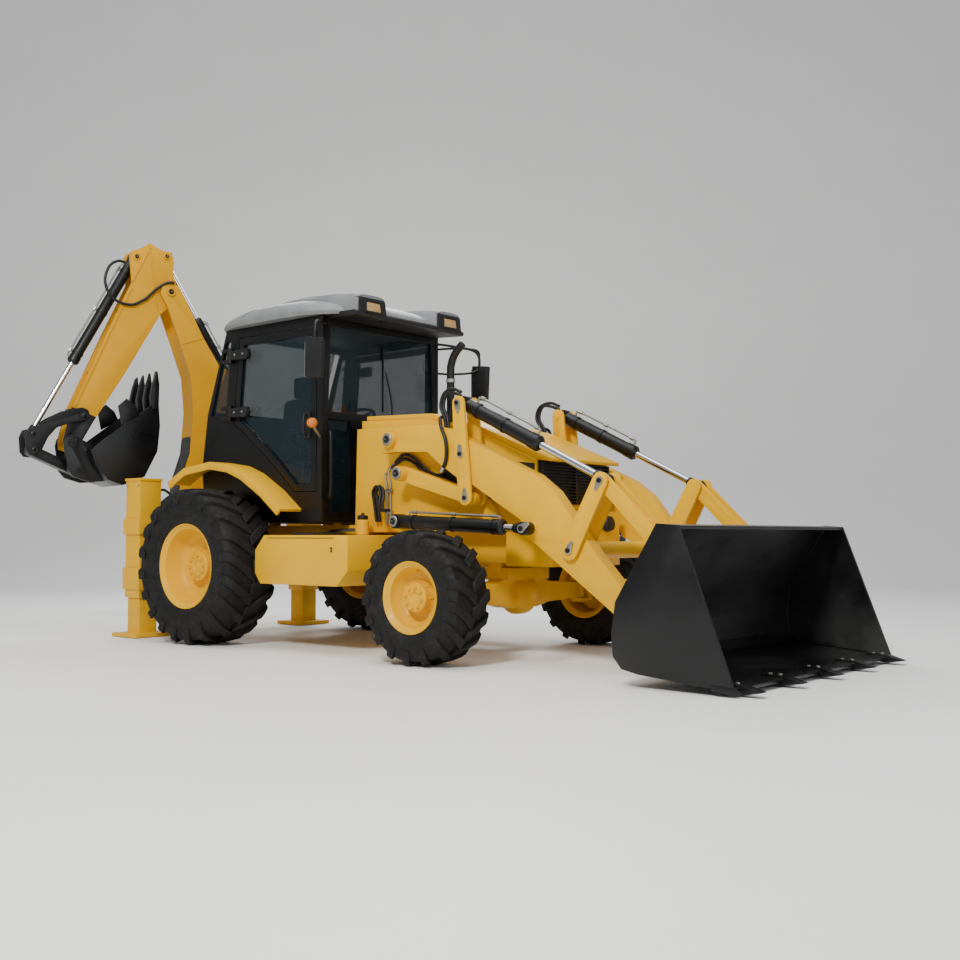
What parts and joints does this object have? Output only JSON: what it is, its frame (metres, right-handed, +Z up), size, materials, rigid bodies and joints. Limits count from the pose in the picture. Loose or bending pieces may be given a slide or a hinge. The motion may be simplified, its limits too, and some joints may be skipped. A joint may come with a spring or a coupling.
{
  "type": "backhoe loader",
  "caption": "Wheeled backhoe loader with a glazed cab, a front lift-arm bucket, a side-shifting rear digging arm and vertical stabiliser legs.",
  "frame": {"origin": "middle of the footprint, on the ground", "axes": "+X to the front bucket, +Y to the left side, +Z up"},
  "size_m": [6.8555, 2.698, 3.53],
  "materials": {
    "yellow_paint": "glossy machine enamel",
    "black_paint": "satin black enamel",
    "tyre_rubber": "moulded rubber",
    "chrome_rod": "hard chrome",
    "grey_roof": "moulded plastic",
    "black_trim": "matt black paint",
    "cast_iron": "painted casting"
  },
  "bodies": {
    "bell_crank": {"bell_cranks": "yellow_paint"},
    "bonnet": {"bonnet": "yellow_paint"},
    "boom": {"boom": "yellow_paint"},
    "boom_barrel": {"boom_cylinder": "black_paint"},
    "boom_rod": {"boom_rod": "chrome_rod"},
    "bucket_tilt": {"loader_bucket": "black_paint"},
    "carriage": {"backhoe_carriage": "yellow_paint"},
    "dipper": {"dipper": "yellow_paint"},
    "dipper_barrel": {"dipper_cylinder": "black_paint"},
    "dipper_rod": {"dipper_rod": "chrome_rod"},
    "door_left": {"cab_door_left": "black_trim"},
    "door_right": {"cab_door_right": "black_trim"},
    "front_wheel_left": {"front_rim_left": "yellow_paint", "front_tyre_left": "tyre_rubber"},
    "front_wheel_right": {"front_rim_right": "yellow_paint", "front_tyre_right": "tyre_rubber"},
    "h_link": {"bucket_link": "black_paint"},
    "hoe_barrel": {"hoe_cylinder": "black_paint"},
    "hoe_bucket": {"hoe_bucket": "black_paint"},
    "hoe_rod": {"hoe_rod": "chrome_rod"},
    "idler": {"idler_links": "black_paint"},
    "lever_left": {"tilt_lever_left": "yellow_paint"},
    "lever_right": {"tilt_lever_right": "yellow_paint"},
    "lift_barrel_left": {"lift_cylinder_left": "black_paint"},
    "lift_barrel_right": {"lift_cylinder_right": "black_paint"},
    "lift_rod_left": {"lift_rod_left": "chrome_rod"},
    "lift_rod_right": {"lift_rod_right": "chrome_rod"},
    "loader_lift": {"loader_arms": "yellow_paint"},
    "lower_link_left": {"lower_link_left": "yellow_paint"},
    "lower_link_right": {"lower_link_right": "yellow_paint"},
    "machine": {"bonnet_sides": "yellow_paint", "cab_frame": "black_trim", "cab_roof": "grey_roof", "chassis_frame": "yellow_paint", "engine_block": "cast_iron", "exhaust_stack": "black_trim", "fender_left": "yellow_paint", "fender_right": "yellow_paint", "front_axle": "yellow_paint", "fuel_tank": "yellow_paint", "hydraulic_tank": "yellow_paint", "operator_seat": "black_trim", "radiator_grille": "black_trim", "rear_axle": "yellow_paint", "steering_console": "black_trim"},
    "rear_wheel_left": {"rear_rim_left": "yellow_paint", "rear_tyre_left": "tyre_rubber"},
    "rear_wheel_right": {"rear_rim_right": "yellow_paint", "rear_tyre_right": "tyre_rubber"},
    "stabiliser_left": {"stabiliser_leg_left": "yellow_paint"},
    "stabiliser_right": {"stabiliser_leg_right": "yellow_paint"},
    "steer_left": {"steering_knuckle_left": "yellow_paint"},
    "steer_right": {"steering_knuckle_right": "yellow_paint"},
    "swing": {"swing_post": "yellow_paint"},
    "tilt_barrel_left": {"tilt_cylinder_left": "black_paint"},
    "tilt_barrel_right": {"tilt_cylinder_right": "black_paint"},
    "tilt_rod_left": {"tilt_rod_left": "chrome_rod"},
    "tilt_rod_right": {"tilt_rod_right": "chrome_rod"},
    "tipping_link_left": {"tipping_link_left": "yellow_paint"},
    "tipping_link_right": {"tipping_link_right": "yellow_paint"}
  },
  "joints": [
    {"name": "rear_wheel_spin_right", "type": "hinge", "parent": "machine", "child": "rear_wheel_right", "pos_m": [-1.3583, -0.78563, 0.61], "axis": [0, 1, 0], "continuous": true},
    {"name": "front_wheel_spin_right", "type": "hinge", "parent": "steer_right", "child": "front_wheel_right", "pos_m": [1.0227, -0.82063, 0.445], "axis": [0, 1, 0], "continuous": true},
    {"name": "rear_wheel_spin_left", "type": "hinge", "parent": "machine", "child": "rear_wheel_left", "pos_m": [-1.3583, 1.11437, 0.61], "axis": [0, 1, 0], "continuous": true},
    {"name": "front_wheel_spin_left", "type": "hinge", "parent": "steer_left", "child": "front_wheel_left", "pos_m": [1.0227, 1.14937, 0.445], "axis": [0, 1, 0], "continuous": true},
    {"name": "steering", "type": "hinge", "parent": "machine", "child": "steer_right", "pos_m": [1.0227, -0.59563, 0.445], "axis": [0, 0, 1], "range_deg": [-35, 35]},
    {"name": "steering_left", "type": "hinge", "parent": "machine", "child": "steer_left", "pos_m": [1.0227, 0.92437, 0.445], "axis": [0, 0, 1], "range_deg": [-35, 35]},
    {"name": "door_swing_right", "type": "hinge", "parent": "machine", "child": "door_right", "pos_m": [-1.4183, -0.52263, 1.8], "axis": [0, 0, -1], "range_deg": [0, 80]},
    {"name": "door_swing_left", "type": "hinge", "parent": "machine", "child": "door_left", "pos_m": [-1.4183, 0.85137, 1.8], "axis": [0, 0, 1], "range_deg": [0, 80]},
    {"name": "bonnet_lift", "type": "hinge", "parent": "machine", "child": "bonnet", "pos_m": [-0.0983, 0.16437, 1.738], "axis": [0, -1, 0], "range_deg": [0, 50]},
    {"name": "loader_lift", "type": "hinge", "parent": "machine", "child": "loader_lift", "pos_m": [0.3637, 0.16437, 1.54], "axis": [0, -1, 0], "range_deg": [0, 78]},
    {"name": "bucket_tilt", "type": "hinge", "parent": "loader_lift", "child": "bucket_tilt", "pos_m": [2.4517, 0.16437, 0.31], "axis": [0, 1, 0], "range_deg": [-40, 90]},
    {"name": "bell_crank_turn", "type": "hinge", "parent": "loader_lift", "child": "bell_crank", "pos_m": [1.9567, 0.16437, 0.755], "axis": [0, 1, 0], "range_deg": [-36, 81]},
    {"name": "tipping_link_right", "type": "hinge", "parent": "bell_crank", "child": "tipping_link_right", "pos_m": [2.1907, -0.41563, 1.191], "axis": [0, 1, 0], "range_deg": [-81, 36]},
    {"name": "lever_right", "type": "hinge", "parent": "loader_lift", "child": "lever_right", "pos_m": [1.0577, -0.41563, 1.405], "axis": [0, -1, 0], "range_deg": [-72, 0]},
    {"name": "lower_link_right", "type": "hinge", "parent": "machine", "child": "lower_link_right", "pos_m": [0.4577, -0.41563, 1.293], "axis": [0, -1, 0], "range_deg": [0, 86]},
    {"name": "tilt_barrel_right", "type": "hinge", "parent": "lever_right", "child": "tilt_barrel_right", "pos_m": [1.0297, -0.41563, 1.757], "axis": [0, -1, 0], "range_deg": [0, 86]},
    {"name": "lift_barrel_right", "type": "hinge", "parent": "machine", "child": "lift_barrel_right", "pos_m": [0.5137, -0.53763, 0.95], "axis": [0, -1, 0], "range_deg": [0, 72]},
    {"name": "tilt_rod_right", "type": "slide", "parent": "tilt_barrel_right", "child": "tilt_rod_right", "axis": [0.8989, 0, -0.4382], "range_m": [-0.45, 0]},
    {"name": "lift_rod_right", "type": "slide", "parent": "lift_barrel_right", "child": "lift_rod_right", "axis": [0.9988, 0, -0.0487], "range_m": [0, 0.8]},
    {"name": "tipping_link_left", "type": "hinge", "parent": "bell_crank", "child": "tipping_link_left", "pos_m": [2.1907, 0.74437, 1.191], "axis": [0, 1, 0], "range_deg": [-81, 36]},
    {"name": "lever_left", "type": "hinge", "parent": "loader_lift", "child": "lever_left", "pos_m": [1.0577, 0.74437, 1.405], "axis": [0, -1, 0], "range_deg": [-72, 0]},
    {"name": "lower_link_left", "type": "hinge", "parent": "machine", "child": "lower_link_left", "pos_m": [0.4577, 0.74437, 1.293], "axis": [0, -1, 0], "range_deg": [0, 86]},
    {"name": "tilt_barrel_left", "type": "hinge", "parent": "lever_left", "child": "tilt_barrel_left", "pos_m": [1.0297, 0.74437, 1.757], "axis": [0, -1, 0], "range_deg": [0, 86]},
    {"name": "lift_barrel_left", "type": "hinge", "parent": "machine", "child": "lift_barrel_left", "pos_m": [0.5137, 0.86637, 0.95], "axis": [0, -1, 0], "range_deg": [0, 72]},
    {"name": "tilt_rod_left", "type": "slide", "parent": "tilt_barrel_left", "child": "tilt_rod_left", "axis": [0.8989, 0, -0.4382], "range_m": [-0.45, 0]},
    {"name": "lift_rod_left", "type": "slide", "parent": "lift_barrel_left", "child": "lift_rod_left", "axis": [0.9988, 0, -0.0487], "range_m": [0, 0.8]},
    {"name": "carriage_shift", "type": "slide", "parent": "machine", "child": "carriage", "axis": [0, 1, 0], "range_m": [-0.65, 0.35]},
    {"name": "swing", "type": "hinge", "parent": "carriage", "child": "swing", "pos_m": [-2.8083, 0.31437, 0], "axis": [0, 0, -1], "range_deg": [-15, 165]},
    {"name": "boom_lower", "type": "hinge", "parent": "swing", "child": "boom", "pos_m": [-2.87301, 0.07289, 0.95], "axis": [0.9659, -0.2588, 0], "range_deg": [0, 105]},
    {"name": "dipper_swing", "type": "hinge", "parent": "boom", "child": "dipper", "pos_m": [-2.9183, -0.09615, 3.096], "axis": [-0.9659, 0.2588, 0], "range_deg": [-5, 105]},
    {"name": "hoe_bucket_dump", "type": "hinge", "parent": "dipper", "child": "hoe_bucket", "pos_m": [-3.14477, -0.94134, 1.66], "axis": [-0.9659, 0.2588, 0], "range_deg": [0, 165]},
    {"name": "boom_barrel", "type": "hinge", "parent": "swing", "child": "boom_barrel", "pos_m": [-2.79019, 0.38198, 1.18], "axis": [0.9659, -0.2588, 0], "range_deg": [0, 100]},
    {"name": "dipper_barrel", "type": "hinge", "parent": "boom", "child": "dipper_barrel", "pos_m": [-2.74877, 0.53653, 2.3], "axis": [-0.9659, 0.2588, 0], "range_deg": [-2, 10]},
    {"name": "idler", "type": "hinge", "parent": "dipper", "child": "idler", "pos_m": [-3.11889, -0.84474, 1.9], "axis": [-0.9659, 0.2588, 0], "range_deg": [0, 90]},
    {"name": "h_link", "type": "hinge", "parent": "idler", "child": "h_link", "pos_m": [-3.22759, -1.25043, 1.585], "axis": [-0.9659, 0.2588, 0], "range_deg": [-40, 0]},
    {"name": "hoe_barrel", "type": "hinge", "parent": "dipper", "child": "hoe_barrel", "pos_m": [-2.99879, -0.39655, 3.39], "axis": [-0.9659, 0.2588, 0], "range_deg": [0, 8]},
    {"name": "boom_rod", "type": "slide", "parent": "boom_barrel", "child": "boom_rod", "axis": [-0.0109, -0.0406, 0.9991], "range_m": [0, 0.75]},
    {"name": "dipper_rod", "type": "slide", "parent": "dipper_barrel", "child": "dipper_rod", "axis": [-0.134, -0.5002, 0.8555], "range_m": [-0.6, 0.05]},
    {"name": "hoe_rod", "type": "slide", "parent": "hoe_barrel", "child": "hoe_rod", "axis": [-0.1222, -0.4559, -0.8816], "range_m": [-0.65, 0]},
    {"name": "stabiliser_right", "type": "slide", "parent": "machine", "child": "stabiliser_right", "axis": [0, 0, 1], "range_m": [-0.004, 0.27]},
    {"name": "stabiliser_left", "type": "slide", "parent": "machine", "child": "stabiliser_left", "axis": [0, 0, 1], "range_m": [-0.004, 0.27]}
  ],
  "couplings": [
    {"joint": "steering_left", "follows": "steering", "ratio": 1},
    {"joint": "lever_right", "follows": "loader_lift", "ratio": -0.8798},
    {"joint": "lower_link_right", "follows": "loader_lift", "ratio": 1.0599},
    {"joint": "tilt_barrel_right", "follows": "loader_lift", "ratio": 0.9013},
    {"joint": "tilt_rod_right", "follows": "loader_lift", "m_per_rad": -0.2915},
    {"joint": "lift_barrel_right", "follows": "loader_lift", "ratio": 0.8866},
    {"joint": "lift_rod_right", "follows": "loader_lift", "m_per_rad": 0.5383},
    {"joint": "tipping_link_right", "follows": "bucket_tilt", "ratio": -0.89},
    {"joint": "lever_left", "follows": "loader_lift", "ratio": -0.8798},
    {"joint": "lower_link_left", "follows": "loader_lift", "ratio": 1.0599},
    {"joint": "tilt_barrel_left", "follows": "loader_lift", "ratio": 0.9013},
    {"joint": "tilt_rod_left", "follows": "loader_lift", "m_per_rad": -0.2915},
    {"joint": "lift_barrel_left", "follows": "loader_lift", "ratio": 0.8866},
    {"joint": "lift_rod_left", "follows": "loader_lift", "m_per_rad": 0.5383},
    {"joint": "tipping_link_left", "follows": "bucket_tilt", "ratio": -0.89},
    {"joint": "bell_crank_turn", "follows": "bucket_tilt", "ratio": 0.89},
    {"joint": "boom_barrel", "follows": "boom_lower", "ratio": 0.9276},
    {"joint": "boom_rod", "follows": "boom_lower", "m_per_rad": 0.3297},
    {"joint": "dipper_barrel", "follows": "dipper_swing", "ratio": 0.0706},
    {"joint": "dipper_rod", "follows": "dipper_swing", "m_per_rad": -0.281},
    {"joint": "idler", "follows": "hoe_bucket_dump", "ratio": 0.5105},
    {"joint": "h_link", "follows": "hoe_bucket_dump", "ratio": -0.2096},
    {"joint": "hoe_barrel", "follows": "hoe_bucket_dump", "ratio": 0.0259},
    {"joint": "hoe_rod", "follows": "hoe_bucket_dump", "m_per_rad": -0.2133}
  ]
}
